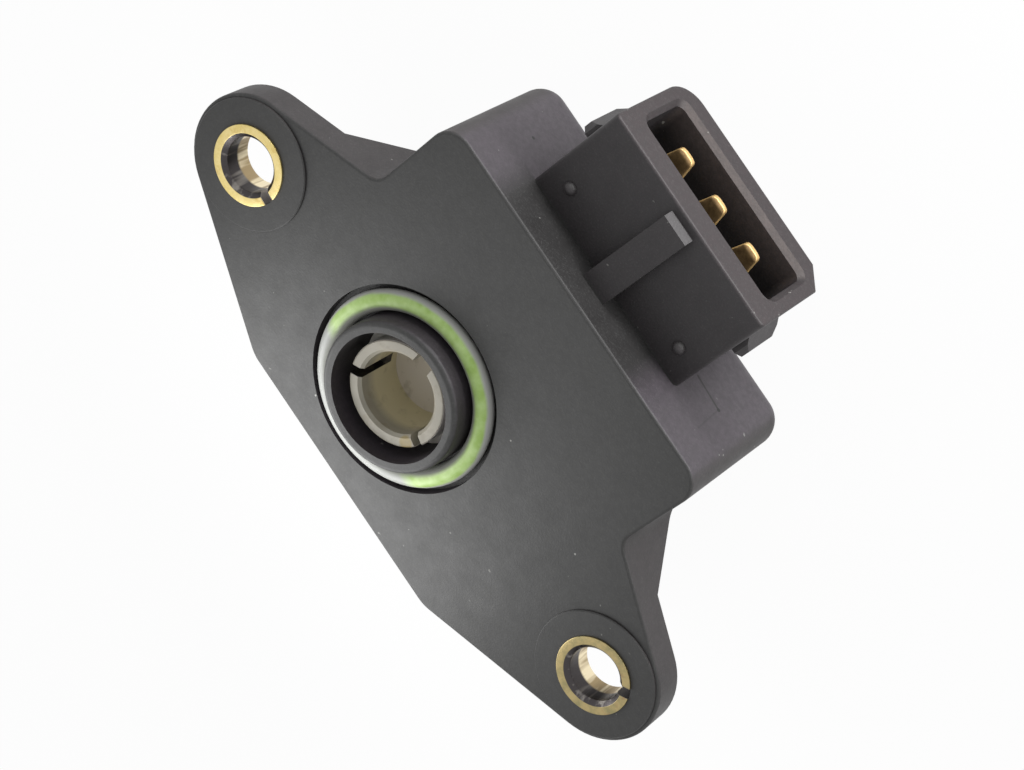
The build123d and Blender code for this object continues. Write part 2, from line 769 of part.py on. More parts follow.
# Printed leads from the two ends of the resistor and from the collector to the riveted pads
lead_paths = (
    (
        polar(resistor_radius, track_start),
        (lead_left, lead_knee_low),
        (lead_left, lead_knee_high),
        (pin_columns[0], rivet_row),
    ),
    (
        polar(collector_radius, collector_start),
        (pin_columns[1], resistor_radius),
        (pin_columns[1], rivet_row),
    ),
    (
        polar(resistor_radius, track_end),
        (lead_right, -lead_knee_low),
        (lead_right, lead_knee_high),
        (pin_columns[2], rivet_row),
    ),
)
with BuildPart() as track_conductors:
    with BuildSketch(Plane.XY.offset(board_front_z)):
        for path in lead_paths:
            with BuildLine():
                Polyline(*path)
            trace(line_width=trace_width)
        with Locations(*[(x, rivet_row) for x in pin_columns]):
            Circle(pad_diameter / 2)
            Circle(rivet_shank / 2 + rivet_fit, mode=Mode.SUBTRACT)
        add(arc_band(resistor_radius, resistor_width, track_start, track_end), mode=Mode.SUBTRACT)
        add(
            arc_band(collector_radius, collector_width, collector_start, track_end),
            mode=Mode.SUBTRACT,
        )
    extrude(amount=film)
track_conductors.part.label = "track_conductors"
export_step(track_conductors.part, "parts/track_conductors.step")


# Plug blade in plan, with a narrowed, rounded tip and a rivet hole at its inner end
def blade_outline(x):
    with BuildSketch(Plane.XY.offset(blade_z + blade_thickness / 2)) as blade:
        with BuildLine():
            Polyline(
                (x - blade_width / 2, blade_inner_end),
                (x - blade_width / 2, blade_tip - blade_taper),
                (x - blade_tip_width / 2, blade_tip),
                (x + blade_tip_width / 2, blade_tip),
                (x + blade_width / 2, blade_tip - blade_taper),
                (x + blade_width / 2, blade_inner_end),
                close=True,
            )
        make_face()
        fillet(blade.vertices().group_by(Axis.Y)[-1], blade_corner)
        with Locations((x, rivet_row)):
            Circle(rivet_shank / 2 + rivet_fit, mode=Mode.SUBTRACT)
    return blade.sketch


# Plug blade from the side, coined thin at its tip
def blade_side(x):
    with BuildSketch(Plane.YZ.offset(x - blade_width)) as side_view:
        with BuildLine():
            Polyline(
                (blade_inner_end, blade_z - blade_thickness / 2),
                (blade_inner_end, blade_z + blade_thickness / 2),
                (blade_tip - blade_coining, blade_z + blade_thickness / 2),
                (blade_tip, blade_z + blade_tip_thickness / 2),
                (blade_tip, blade_z - blade_tip_thickness / 2),
                (blade_tip - blade_coining, blade_z - blade_thickness / 2),
                close=True,
            )
        make_face()
    return side_view.sketch


with BuildPart() as terminal_supply:
    add(blade_outline(pin_columns[0]))
    extrude(amount=-blade_thickness)
    add(blade_side(pin_columns[0]))
    extrude(amount=2 * blade_width, dir=(1, 0, 0), mode=Mode.INTERSECT)
terminal_supply.part.label = "terminal_supply"
export_step(terminal_supply.part, "parts/terminal_supply.step")

with BuildPart() as terminal_signal:
    add(blade_outline(pin_columns[1]))
    extrude(amount=-blade_thickness)
    add(blade_side(pin_columns[1]))
    extrude(amount=2 * blade_width, dir=(1, 0, 0), mode=Mode.INTERSECT)
terminal_signal.part.label = "terminal_signal"
export_step(terminal_signal.part, "parts/terminal_signal.step")

with BuildPart() as terminal_ground:
    add(blade_outline(pin_columns[2]))
    extrude(amount=-blade_thickness)
    add(blade_side(pin_columns[2]))
    extrude(amount=2 * blade_width, dir=(1, 0, 0), mode=Mode.INTERSECT)
terminal_ground.part.label = "terminal_ground"
export_step(terminal_ground.part, "parts/terminal_ground.step")

# Rivets from the pads through the board to the blades, with a collar between board and blade
rivet_points = [(x, rivet_row) for x in pin_columns]
blade_rear_z = blade_z - blade_thickness / 2
with BuildPart() as contact_rivets:
    for diameter, start_z, end_z in (
        (rivet_head, board_front_z + film, board_front_z + film + rivet_head_height),
        (rivet_shank, board_front_z + film, blade_rear_z),
        (rivet_collar, board_rear_z, blade_z + blade_thickness / 2),
        (rivet_head, blade_rear_z, blade_rear_z - rivet_head_height),
    ):
        with BuildSketch(Plane.XY.offset(start_z)):
            with Locations(*rivet_points):
                Circle(diameter / 2)
        extrude(amount=end_z - start_z)
contact_rivets.part.label = "contact_rivets"
export_step(contact_rivets.part, "parts/contact_rivets.step")

# Rear cover with the boss for the pivot bush and two stiffening ribs
boss_top_z = board_rear_z - boss_drop
with BuildPart() as rear_cover:
    with BuildSketch(Plane.XY.offset(cover_outer_z)):
        add(body_outline(0, cover_rim + cover_gap))
    extrude(amount=cover_thickness)
    with BuildSketch(Plane.XY.offset(cover_inner_z)):
        with Locations((plate_middle, 0)):
            Rectangle(2 * board_high[0], cover_rib)
        with Locations((0, (board_low[1] + board_high[1]) / 2)):
            Rectangle(cover_rib, board_high[1] - board_low[1])
    extrude(amount=cover_rib_height)
    with BuildSketch(Plane.XY.offset(cover_inner_z)):
        Circle(boss_outer / 2)
    extrude(amount=boss_top_z - cover_inner_z)
    with BuildSketch(Plane.XY.offset(boss_top_z)):
        Circle(pivot_bush_outer / 2)
    extrude(amount=-pivot_bush_length, mode=Mode.SUBTRACT)
rear_cover.part.label = "rear_cover"
export_step(rear_cover.part, "parts/rear_cover.step")

# Pivot bush pressed in the cover's boss, round the rotor's stub
with BuildPart() as pivot_bush:
    with BuildSketch(Plane.XY.offset(boss_top_z)):
        Circle(pivot_bush_outer / 2)
        Circle(stub_diameter / 2 + running_gap, mode=Mode.SUBTRACT)
    extrude(amount=-pivot_bush_length)
pivot_bush.part.label = "pivot_bush"
export_step(pivot_bush.part, "parts/pivot_bush.step")

# Gasket between the housing's ledge and the cover
with BuildPart() as cover_seal:
    with BuildSketch(Plane.XY.offset(cover_inner_z)):
        add(body_outline(0, cover_rim + gasket_edge))
        add(body_outline(0, cover_rim + gasket_edge + gasket_width), mode=Mode.SUBTRACT)
    extrude(amount=gasket_thickness)
cover_seal.part.label = "cover_seal"
export_step(cover_seal.part, "parts/cover_seal.step")
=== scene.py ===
import bpy
import numpy as np
from mathutils import Matrix, Vector


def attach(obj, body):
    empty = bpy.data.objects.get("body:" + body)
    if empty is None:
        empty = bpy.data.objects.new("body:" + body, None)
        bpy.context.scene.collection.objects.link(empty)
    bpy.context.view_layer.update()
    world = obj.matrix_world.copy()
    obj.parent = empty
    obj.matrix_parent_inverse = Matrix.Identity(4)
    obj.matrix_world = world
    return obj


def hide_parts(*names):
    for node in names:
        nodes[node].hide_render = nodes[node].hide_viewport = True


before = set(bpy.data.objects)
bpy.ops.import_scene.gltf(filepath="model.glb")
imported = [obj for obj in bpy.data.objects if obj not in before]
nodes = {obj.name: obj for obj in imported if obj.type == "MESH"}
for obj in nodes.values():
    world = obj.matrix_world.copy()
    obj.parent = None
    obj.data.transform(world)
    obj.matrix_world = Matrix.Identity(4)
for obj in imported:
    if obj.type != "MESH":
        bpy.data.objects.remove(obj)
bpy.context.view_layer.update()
print("frame loaded:", len(nodes), "nodes")

mm = 0.001  # one millimetre, in metres


def meshPiece(name, points, faces, body, flatEnds=0):
    # One mesh object at the origin from an array of points and a list of faces; the last few faces
    # may stay flat, and the others are shaded smooth
    mesh = bpy.data.meshes.new(name)
    mesh.from_pydata(np.asarray(points, float).reshape(-1, 3).tolist(), [], faces)
    mesh.update()
    mesh.polygons.foreach_set("use_smooth", np.arange(len(faces)) < len(faces) - flatEnds)
    piece = bpy.data.objects.new(name, mesh)
    bpy.context.scene.collection.objects.link(piece)
    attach(piece, body)
    return piece


def gridFaces(rows, columns, loopRows=False):
    # Quads between neighbours of a rows x columns grid; every row is closed round, and the rows
    # too where asked
    i = np.arange(rows if loopRows else rows - 1)
    j = np.arange(columns)
    i, j = [a.ravel() for a in np.meshgrid(i, j, indexing="ij")]
    nextRow = (i + 1) % rows * columns
    nextColumn = (j + 1) % columns
    row = i * columns
    quads = np.stack([row + j, nextRow + j, nextRow + nextColumn, row + nextColumn], 1)
    return quads.tolist()


def cappedFaces(rows, columns):
    # The quads of a tube, and one flat face at each of its ends
    first = np.arange(columns)
    last = first[::-1] + (rows - 1) * columns
    return gridFaces(rows, columns) + [first.tolist(), last.tolist()]


def roundedLoop(corners, radius, steps=4):
    # Closed outline: each corner of a polygon is replaced by an arc that is tangent to both sides
    corners = np.asarray(corners, float)
    back = np.roll(corners, 1, axis=0) - corners
    ahead = np.roll(corners, -1, axis=0) - corners
    back /= np.linalg.norm(back, axis=1)[:, None]
    ahead /= np.linalg.norm(ahead, axis=1)[:, None]
    half = np.arccos(np.clip((back * ahead).sum(1), -1, 1)) / 2
    reach = (radius / np.tan(half))[:, None]
    inward = (back + ahead) / np.linalg.norm(back + ahead, axis=1)[:, None]
    middle = corners + inward * (radius / np.sin(half))[:, None]
    first = corners + back * reach - middle
    last = corners + ahead * reach - middle
    t = np.linspace(0, 1, steps + 1)[None, :, None]
    arc = first[:, None] * (1 - t) + last[:, None] * t
    arc *= radius / np.linalg.norm(arc, axis=2, keepdims=True)
    return (middle[:, None] + arc).reshape(-1, 2)


softSpan = (0.35, 0.65)  # the part of a noise's range that blotches of tone use
wideSpan = (0.3, 0.7)  # the part that roughness uses


class Finish:
    # A material's node tree with short calls to add and join nodes
    def __init__(self, name):
        self.material = bpy.data.materials.new(name)
        self.material.use_nodes = True
        self.tree = self.material.node_tree
        self.shader = self.tree.nodes["Principled BSDF"]
        self.place = self.add("ShaderNodeTexCoord").outputs["Object"]
        self.facing = self.place.node.outputs["Normal"]

    def add(self, kind, **settings):
        node = self.tree.nodes.new(kind)
        for key, value in settings.items():
            setattr(node, key, value)
        return node

    def put(self, socket, value):
        if isinstance(value, bpy.types.NodeSocket):
            self.tree.links.new(value, socket)
        elif isinstance(value, tuple) and len(value) == 3 and socket.type == "RGBA":
            socket.default_value = (*value, 1)
        else:
            socket.default_value = value

    def sums(self, operation, first, second=0.0, third=0.0):
        node = self.add("ShaderNodeMath", operation=operation)
        for socket, value in zip(node.inputs, (first, second, third)):
            self.put(socket, value)
        return node.outputs[0]

    def product(self, first, *others):
        for other in others:
            first = self.sums("MULTIPLY", first, other)
        return first

    def towards(self, x, y, angle):
        # How far a point lies in the direction of an angle in degrees
        c, s = float(np.cos(np.radians(angle))), float(np.sin(np.radians(angle)))
        return self.sums("MULTIPLY_ADD", x, c, self.sums("MULTIPLY", y, s))

    def noise(self, scale, detail=3.0, rough=0.5, place=None):
        node = self.add("ShaderNodeTexNoise")
        self.put(node.inputs["Vector"], place or self.place)
        node.inputs["Scale"].default_value = scale
        node.inputs["Detail"].default_value = detail
        node.inputs["Roughness"].default_value = rough
        return node.outputs["Fac"]

    def fade(self, value, ends, unit=1.0, shares=(0.0, 1.0)):
        # Runs from one share to the other between the two ends, and stays level beyond them
        node = self.add("ShaderNodeMapRange", clamp=True)
        numbers = (value, ends[0] * unit, ends[1] * unit, *shares)
        for socket, number in zip(node.inputs, numbers):
            self.put(socket, number)
        return node.outputs[0]

    def mixed(self, share, first, second):
        node = self.add("ShaderNodeMix", data_type="RGBA")
        self.put(node.inputs["Factor"], share)
        self.put(node.inputs[6], first)
        self.put(node.inputs[7], second)
        return node.outputs[2]

    def blotches(self, scale, tones, detail=4, rough=0.5):
        # Two tones, mixed by a soft noise
        return self.mixed(self.fade(self.noise(scale, detail, rough), softSpan), *tones)

    def split(self, vector):
        node = self.add("ShaderNodeSeparateXYZ")
        self.put(node.inputs[0], vector)
        return node.outputs

    def stretched(self, scale):
        node = self.add("ShaderNodeMapping")
        self.put(node.inputs["Vector"], self.place)
        node.inputs["Scale"].default_value = scale
        return node.outputs[0]

    def bump(self, height, depth, strength):
        # Depth in mm
        node = self.add("ShaderNodeBump")
        node.inputs["Strength"].default_value = strength
        node.inputs["Distance"].default_value = depth * mm
        self.put(node.inputs["Height"], height)
        return node.outputs[0]

    def fineBump(self, scale, detail, depth, strength):
        return self.bump(self.noise(scale, detail), depth, strength)

    def close(self, values):
        for key, value in values.items():
            self.put(self.shader.inputs[key], value)
        return self.material


maskPlan = {
    "slitEdge": (0.04, 0.02),  # mm beyond half the slit's width
    "slitStart": (0.0, 0.1),  # mm from the centre
    "spotCore": 0.7,  # share of a spot's radius that is filled
    "lineCore": 0.5,
}


def offsets(finish, centre):
    # Ways along x and y from an upright line through centre
    x, y = finish.split(finish.place)[:2]
    dx = finish.sums("SUBTRACT", x, centre[0] * mm)
    dy = finish.sums("SUBTRACT", y, centre[1] * mm)
    return dx, dy


def radialWay(finish, centre):
    # Distance from an upright line through centre, in metres
    dx, dy = offsets(finish, centre)
    squares = finish.sums("ADD", finish.product(dx, dx), finish.product(dy, dy))
    return finish.sums("SQRT", squares)


def slitShare(finish, centre, angle, width):
    # 1 in a radial strip of the given width that leaves centre at an angle in degrees
    dx, dy = offsets(finish, centre)
    across = finish.sums("ABSOLUTE", finish.towards(dx, dy, angle + 90))
    edge = [width / 2 + margin for margin in maskPlan["slitEdge"]]
    near = finish.fade(across, edge, mm)
    outward = finish.fade(finish.towards(dx, dy, angle), maskPlan["slitStart"], mm)
    return finish.product(near, outward)


def spotShare(finish, middle, radius):
    # 1 inside a small ball round a point, fading to 0 at its edge
    node = finish.add("ShaderNodeVectorMath", operation="DISTANCE")
    finish.put(node.inputs[0], finish.place)
    node.inputs[1].default_value = [v * mm for v in middle]
    return finish.fade(node.outputs["Value"], (radius, radius * maskPlan["spotCore"]), mm)


def lineShare(finish, start, end, width):
    # 1 close to the straight line between two points: the nearest point of the line is its start
    # plus the clamped share of the way along
    start, end = np.array(start) * mm, np.array(end) * mm
    way = end - start
    offset = finish.add("ShaderNodeVectorMath", operation="SUBTRACT")
    finish.put(offset.inputs[0], finish.place)
    offset.inputs[1].default_value = start.tolist()
    dot = finish.add("ShaderNodeVectorMath", operation="DOT_PRODUCT")
    finish.put(dot.inputs[0], offset.outputs[0])
    dot.inputs[1].default_value = (way / (way @ way)).tolist()
    nearest = finish.add("ShaderNodeVectorMath", operation="SCALE")
    nearest.inputs[0].default_value = way.tolist()
    finish.put(nearest.inputs["Scale"], finish.fade(dot.outputs["Value"], (0.0, 1.0)))
    gap = finish.add("ShaderNodeVectorMath", operation="DISTANCE")
    finish.put(gap.inputs[0], offset.outputs[0])
    finish.put(gap.inputs[1], nearest.outputs[0])
    half = width / 2
    return finish.fade(gap.outputs["Value"], (half, half * maskPlan["lineCore"]), mm)


cameraPlan = {
    "eye": (13.69, 159.40, 182.92),  # mm
    "right": (0.56097, 0.63082, -0.53607),
    "up": (-0.82710, 0.45444, -0.33075),
    "back": (0.03497, 0.62892, 0.77668),
    "lens": 93.91,
    "sensor": 36.0,
    "nearest": 5.0,
}
lensData = bpy.data.cameras.new("camera")
lensData.lens = cameraPlan["lens"]
lensData.sensor_width = cameraPlan["sensor"]
lensData.sensor_fit = "HORIZONTAL"
lensData.clip_start = cameraPlan["nearest"] * mm
camera = bpy.data.objects.new("camera", lensData)
turn = Matrix([cameraPlan["right"], cameraPlan["up"], cameraPlan["back"]]).transposed()
camera.matrix_world = Matrix.Translation([v * mm for v in cameraPlan["eye"]]) @ turn.to_4x4()
bpy.context.scene.collection.objects.link(camera)
bpy.context.scene.camera = camera
print("camera placed")


sealPlan = {
    "ringRadius": 8.6,
    "section": 1.0,
    "height": -0.75,
    "floor": -1.7,
    "flash": 0.025,  # mould line at the section's inner and outer side
    "flashWidth": 0.12,
    "around": 160,
    "across": 36,
}


def sealSurface(plan):
    # A circle of the section's radius, carried round the axis; where it meets the groove floor it
    # is flat, and a narrow ridge stands at its two sides
    u = np.linspace(0, 2 * np.pi, plan["around"], endpoint=False)[:, None]
    v = np.linspace(0, 2 * np.pi, plan["across"], endpoint=False)[None, :]
    ridge = plan["flash"] * np.exp(-((np.sin(v) / plan["flashWidth"]) ** 2))
    size = plan["section"] + ridge * (np.cos(v) ** 2)
    out = plan["ringRadius"] + size * np.cos(v)
    up = np.maximum(plan["height"] + size * np.sin(v), plan["floor"])
    points = np.stack([out * np.cos(u), out * np.sin(u), up + 0 * u], 2)
    return points * mm


sealFaces = gridFaces(sealPlan["around"], sealPlan["across"], loopRows=True)
seal = meshPiece("faceSealRing", sealSurface(sealPlan), sealFaces, "housing_body")
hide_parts("face_o_ring")
print("face seal made")


springPlan = {
    "radius": 8.5,
    "wire": 0.3,  # half its thickness
    "top": -4.3,
    "pitch": 0.65,
    "fixedAngle": 180.0,
    "hornAngle": -26.0,  # the carrier's horn, which the moving leg lies beside
    "hornWidth": 1.2,
    "wholeTurns": 3,
    "legReach": 2.6,
    "coilSteps": 420,
    "legSteps": 24,
    "easing": 6,
    "around": 12,
}


def springPath(plan):
    # A helix between two straight legs, with each corner eased by running averages
    beside = np.degrees((plan["hornWidth"] / 2 + plan["wire"]) / plan["radius"])
    part = (plan["hornAngle"] + beside - plan["fixedAngle"]) % 360 / 360
    turns = plan["wholeTurns"] + part
    t = np.linspace(0, 1, plan["coilSteps"])
    angle = np.radians(plan["fixedAngle"] + 360 * turns * t)
    out = np.stack([np.cos(angle), np.sin(angle), 0 * angle], 1)
    drop = np.array([0, 0, 1.0]) * (plan["top"] - plan["pitch"] * turns * t)[:, None]
    coil = plan["radius"] * out + drop
    reach = np.linspace(plan["legReach"], 0, plan["legSteps"], endpoint=False)[:, None]
    path = np.concatenate([coil[0] + out[0] * reach, coil, coil[-1] + out[-1] * reach[::-1]])
    for _ in range(plan["easing"]):
        path[1:-1] = (path[:-2] + 2 * path[1:-1] + path[2:]) / 4
    return path


def tubeSurface(path, radius, around):
    # A circle of the given radius, carried along the path square to it
    along = np.gradient(path, axis=0)
    along /= np.linalg.norm(along, axis=1)[:, None]
    side = np.cross(along, [0, 0, 1.0])
    side /= np.linalg.norm(side, axis=1)[:, None]
    lift = np.cross(side, along)
    v = np.linspace(0, 2 * np.pi, around, endpoint=False)[None, :, None]
    return path[:, None] + radius * (np.cos(v) * side[:, None] + np.sin(v) * lift[:, None])


route = springPath(springPlan)
coilPoints = tubeSurface(route, springPlan["wire"], springPlan["around"]) * mm
coilFaces = cappedFaces(len(route), springPlan["around"])
spring = meshPiece("torsionSpring", coilPoints, coilFaces, "housing_body")
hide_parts("return_spring")
print("return spring made")


sleevePlan = {
    "outer": 3.9,
    "bore": 2.65,
    "chamfer": 0.45,
    "length": 3.95,
    "edge": 0.06,
    "slit": 1.0,
    "places": {  # x in mm, and the slit's angle in degrees
        "mounting_bushing_left": (-24.9, -5.0),
        "mounting_bushing_right": (31.1, 37.0),
    },
    "around": 120,
}


def sleeveSurface(plan, x, slitAngle):
    # The wall's section with softened corners, carried round from one side of the slit to the other
    mouth = plan["bore"] + plan["chamfer"]
    section = roundedLoop(
        [
            (plan["outer"], 0),
            (mouth, 0),
            (plan["bore"], -plan["chamfer"]),
            (plan["bore"], -plan["length"] + plan["chamfer"]),
            (mouth, -plan["length"]),
            (plan["outer"], -plan["length"]),
        ],
        plan["edge"],
    )
    r, z = section.T[:, None]
    start = np.arcsin(plan["slit"] / 2 / r)  # the slit has parallel sides
    t = np.linspace(0, 1, plan["around"])[:, None]
    angle = np.radians(slitAngle) + start + (2 * np.pi - 2 * start) * t
    points = np.stack([x + r * np.cos(angle), r * np.sin(angle), z + 0 * angle], 2)
    return points * mm, len(section)


for node, (x, slitAngle) in sleevePlan["places"].items():
    points, columns = sleeveSurface(sleevePlan, x, slitAngle)
    faces = cappedFaces(sleevePlan["around"], columns)
    sleeve = meshPiece("sleeve_" + node.split("_")[-1], points, faces, "housing_body", 2)
    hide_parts(node)
print("bushings made")


bladePlan = {
    "nodes": ("terminal_supply", "terminal_signal", "terminal_ground"),
    "inner": 13.4,  # mm, the end inside the housing
    "tip": 32.4,
    "width": 2.8,
    "thickness": 0.8,
    "tipWidth": 1.75,
    "tipThickness": 0.36,
    "taper": 2.6,
    "coining": 0.45,
    "corner": 0.42,
    "squareness": 7.0,  # of the section, where 2 is an ellipse
    "firstStep": 1.0,
    "shankSteps": 8,
    "tipSteps": 40,
    "around": 48,
}


def bladeSurface(plan, x, z):
    # A squarish oval section carried along y; its half width falls straight over the taper and by a
    # quarter circle over the last corner, and its half thickness falls with the square of the way
    ends = plan["tip"] - plan["taper"] * np.cos(np.linspace(0, np.pi / 2, plan["tipSteps"]))
    shank = np.linspace(plan["inner"] + plan["firstStep"], ends[0], plan["shankSteps"])[:-1]
    y = np.concatenate([[plan["inner"]], shank, ends])[:, None]
    taper, corner, coined = [
        np.clip((y - plan["tip"] + plan[key]) / plan[key], 0, 1)
        for key in ("taper", "corner", "coining")
    ]
    wide = plan["width"] / 2 - (plan["width"] - plan["tipWidth"]) / 2 * taper
    wide = wide - plan["corner"] * (1 - np.sqrt(1 - corner**2))
    thick = plan["thickness"] / 2 - (plan["thickness"] - plan["tipThickness"]) / 2 * coined**2
    v = np.linspace(0, 2 * np.pi, plan["around"], endpoint=False)[None, :]
    power = 2 / plan["squareness"]
    across = wide * np.sign(np.cos(v)) * np.abs(np.cos(v)) ** power
    up = thick * np.sign(np.sin(v)) * np.abs(np.sin(v)) ** power
    points = np.stack([x + across, y + 0 * across, z + up], 2)
    return points * mm, len(y)


blades = []
for node in bladePlan["nodes"]:
    corners = [nodes[node].matrix_world @ Vector(c) for c in nodes[node].bound_box]
    middle = (np.min(corners, axis=0) + np.max(corners, axis=0)) / 2 / mm
    points, rows = bladeSurface(bladePlan, middle[0], middle[2])
    faces = cappedFaces(rows, bladePlan["around"])
    blade = meshPiece("blade_" + node.split("_")[-1], points, faces, "housing_body", 2)
    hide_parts(node)
    blades.append(blade)
print("blades made")


plasticPlan = {
    "face": ((0.031, 0.031, 0.0302), (0.037, 0.037, 0.036)),
    "cloud": (4, 0.6),  # noise detail and roughness
    "cloudScale": 55,
    "upright": (0.75, 0.2),  # upward part of the normal, from the face to a wall
    # Painted light: the walls get a lighter, purplish tone than the face, lighter still further
    # down
    "litWallTone": (0.045, 0.037, 0.045),
    "litDeepWallTone": (0.062, 0.053, 0.062),
    "deepWall": (-6.0, -14.0),  # mm, heights
    # Painted shade: the ear walls and the walls facing along x are painted darker than the other
    # walls
    "earShadeTone": (0.034, 0.029, 0.030),
    "earWall": (17.3, 18.3),  # mm from the middle between the bushings
    "endShadeTone": (0.022, 0.019, 0.019),
    "endWall": (0.35, 0.95),  # part of the normal along x
    # Painted shade: the plug and its end rim are painted darker than the body
    "plugShadeTone": (0.026, 0.022, 0.024),
    "plugFrom": (21.9, 22.2),  # mm along y
    "rimShadeTone": (0.024, 0.0170, 0.0185),
    "rimFrom": (32.4, 32.65),
    "rimFacing": (0.3, 0.8),
    # Painted light on the far wall inside the plug mouth; painted shade inside the socket
    "mouthLightTone": (0.085, 0.067, 0.063),
    "mouthFrom": (29.3, 32.6),
    "mouthFacing": (0.3, 0.8),
    "mouthDepth": (-12.5, -13.5),
    "socketShadeTone": (0.012, 0.010, 0.010),
    "backUpTo": (27.0, 26.0),
    "plugwards": (0.5, 0.9),  # part of the normal along y
    "paintedShadeAndMouldTone": (0.010, 0.009, 0.009),  # painted shade on the strip of wall over the plug; also the tone of the mould lines
    "shadeStart": (-10.5, -8.0),
    "shadeEnd": (12.5, 10.0),
    "shadeWall": (21.0, 21.3),
    "shadeBottom": (-5.8, -5.6),
    "padCentres": (-24.9, 31.1),
    "padRadius": 6.68,
    "padEdgeHighlight": (0.19, 0.188, 0.18),  # painted highlight along the edge of a pad, on its side towards the light
    "edgeWidth": (0.12, 0.07),
    "edgeHeight": (-0.36, -0.24),
    "edgeSide": (1.0, -1.5),
    "padEdgeBreakup": ((330, 2), (0.30, 0.62), (0.25, 1.0)),  # noise, its range, share
    "grain": (5200.0, 2, 0.6),  # noise scale, detail, roughness
    "grainDepth": 0.018,
    "grainStrength": 0.9,
    "speckles": (  # noise or grain, its range, greatest share, tone
        ("grain", (0.52, 0.75), 0.25, (0.09, 0.09, 0.088)),
        ((1700.0, 4, 0.7), (0.40, 0.60), 0.30, (0.012, 0.012, 0.012)),
        ((1500, 1, 0.4), (0.785, 0.82), 0.5, (0.30, 0.30, 0.28)),
    ),
    "mouldLines": (  # two ends, width, share
        ((13.98, 21.8, -9.25), (17.47, 21.8, -8.91), 0.34, 0.9),
        ((17.47, 21.8, -8.91), (17.74, 21.8, -4.94), 0.26, 0.35),
    ),
    "paleTone": (0.34, 0.34, 0.32),
    "paleMarks": (
        ((-4.5, -9.3, -0.45), 0.12),
        ((9.4, 7.2, -0.45), 0.10),
        ((21.0, 6.0, -0.45), 0.12),
    ),
    "darkTone": (0.006, 0.006, 0.006),
    "darkMarks": (((-11.6, 21.8, -8.95), 0.22), ((17.5, 21.8, -8.91), 0.24)),
    "roughScale": 420,
    "rough": (0.49, 0.57),
}


def housingFinish(plan):
    # Matt black plastic whose tone follows the face, the walls and the plug, with painted light and
    # shade on the walls, the plug and its mouth, and a painted highlight along the pad edges
    f = Finish("housingPlastic")
    base = f.blotches(plan["cloudScale"], plan["face"], *plan["cloud"])
    grain = f.noise(*plan["grain"])
    x, y, z = f.split(f.place)
    nx, ny, nz = f.split(f.facing)
    # Painted light: walls lighter than the face, and lighter still further down
    wall = f.mixed(f.fade(z, plan["deepWall"], mm), plan["litWallTone"], plan["litDeepWallTone"])
    # Painted shade on the ear walls and on walls that face along x
    middle = sum(plan["padCentres"]) / 2 * mm
    fromMiddle = f.sums("ABSOLUTE", f.sums("SUBTRACT", x, middle))
    wall = f.mixed(f.fade(fromMiddle, plan["earWall"], mm), wall, plan["earShadeTone"])
    wall = f.mixed(f.fade(nx, plan["endWall"]), wall, plan["endShadeTone"])
    base = f.mixed(f.fade(nz, plan["upright"]), base, wall)
    plugwards = f.fade(ny, plan["plugwards"])
    # Painted shade on the strip of wall over the plug
    shade = f.product(
        f.fade(x, plan["shadeStart"], mm),
        f.fade(x, plan["shadeEnd"], mm),
        f.fade(y, plan["shadeWall"], mm),
        plugwards,
        f.fade(z, plan["shadeBottom"], mm),
    )
    base = f.mixed(shade, base, plan["paintedShadeAndMouldTone"])
    # Painted shade over the plug and its end rim
    plug = f.fade(y, plan["plugFrom"], mm)
    base = f.mixed(plug, base, plan["plugShadeTone"])
    rim = f.product(f.fade(y, plan["rimFrom"], mm), f.fade(ny, plan["rimFacing"]))
    base = f.mixed(rim, base, plan["rimShadeTone"])
    # Painted light on the far wall inside the plug mouth and on the mouth's bevel, fading into
    # painted shade deeper in
    mouth = f.mixed(f.fade(y, plan["mouthFrom"], mm), plan["socketShadeTone"], plan["mouthLightTone"])
    within = f.product(f.fade(nz, plan["mouthFacing"]), f.fade(z, plan["mouthDepth"], mm), plug)
    base = f.mixed(within, base, mouth)
    # Painted shade on walls facing along y near the back of the plug
    back = f.product(f.fade(y, plan["backUpTo"], mm), plugwards, plug)
    base = f.mixed(back, base, plan["socketShadeTone"])
    breakup, breakupRange, breakupShares = plan["padEdgeBreakup"]
    # Painted highlight along each pad's edge on the side towards the light, broken up by noise
    for centre in plan["padCentres"]:
        way = f.sums("SUBTRACT", radialWay(f, (centre, 0)), plan["padRadius"] * mm)
        line = f.product(
            f.fade(f.sums("ABSOLUTE", way), plan["edgeWidth"], mm),
            f.fade(z, plan["edgeHeight"], mm),
            f.fade(y, plan["edgeSide"], mm),
            f.fade(f.noise(*breakup), breakupRange, shares=breakupShares),
        )
        base = f.mixed(line, base, plan["padEdgeHighlight"])
    for source, ends, share, tone in plan["speckles"]:
        speckle = grain if source == "grain" else f.noise(*source)
        base = f.mixed(f.fade(speckle, ends, shares=(0.0, share)), base, tone)
    # Mould lines, in the same dark tone as the painted shade
    for start, end, width, share in plan["mouldLines"]:
        line = f.product(lineShare(f, start, end, width), share)
        base = f.mixed(line, base, plan["paintedShadeAndMouldTone"])
    for marks, tone in (("paleMarks", "paleTone"), ("darkMarks", "darkTone")):
        for middle, radius in plan[marks]:
            base = f.mixed(spotShare(f, middle, radius), base, plan[tone])
    rough = f.fade(f.noise(plan["roughScale"]), wideSpan, shares=plan["rough"])
    normal = f.bump(grain, plan["grainDepth"], plan["grainStrength"])
    return f.close({"Base Color": base, "Roughness": rough, "Normal": normal})


